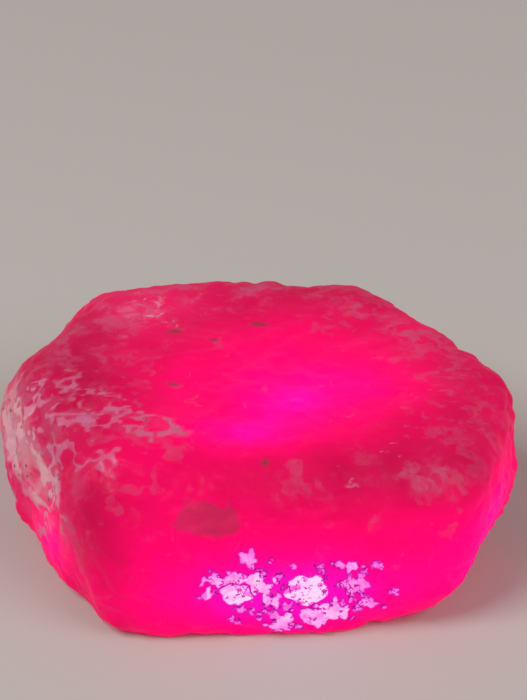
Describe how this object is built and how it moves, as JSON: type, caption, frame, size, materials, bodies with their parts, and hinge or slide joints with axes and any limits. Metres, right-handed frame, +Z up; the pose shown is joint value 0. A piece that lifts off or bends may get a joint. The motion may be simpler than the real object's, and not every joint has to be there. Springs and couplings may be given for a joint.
{
  "type": "raw ruby crystal",
  "caption": "Worn hexagonal tablet of raw ruby with rounded edges, pale crust and a flat natural base that it rests on; a mineral specimen for display.",
  "frame": {"origin": "on the flat base plane, under the middle of the stone's box", "axes": "+Z up out of the flat base, +X along the stone's longest extent to the right of its front face, +Y towards its back"},
  "size_m": [0.0328, 0.0272, 0.0116],
  "materials": {
    "ruby": "translucent crimson ruby with a waxy worn skin, pale pink crust and veins"
  },
  "bodies": {
    "root": {"ruby_crystal": "ruby"}
  },
  "joints": []
}
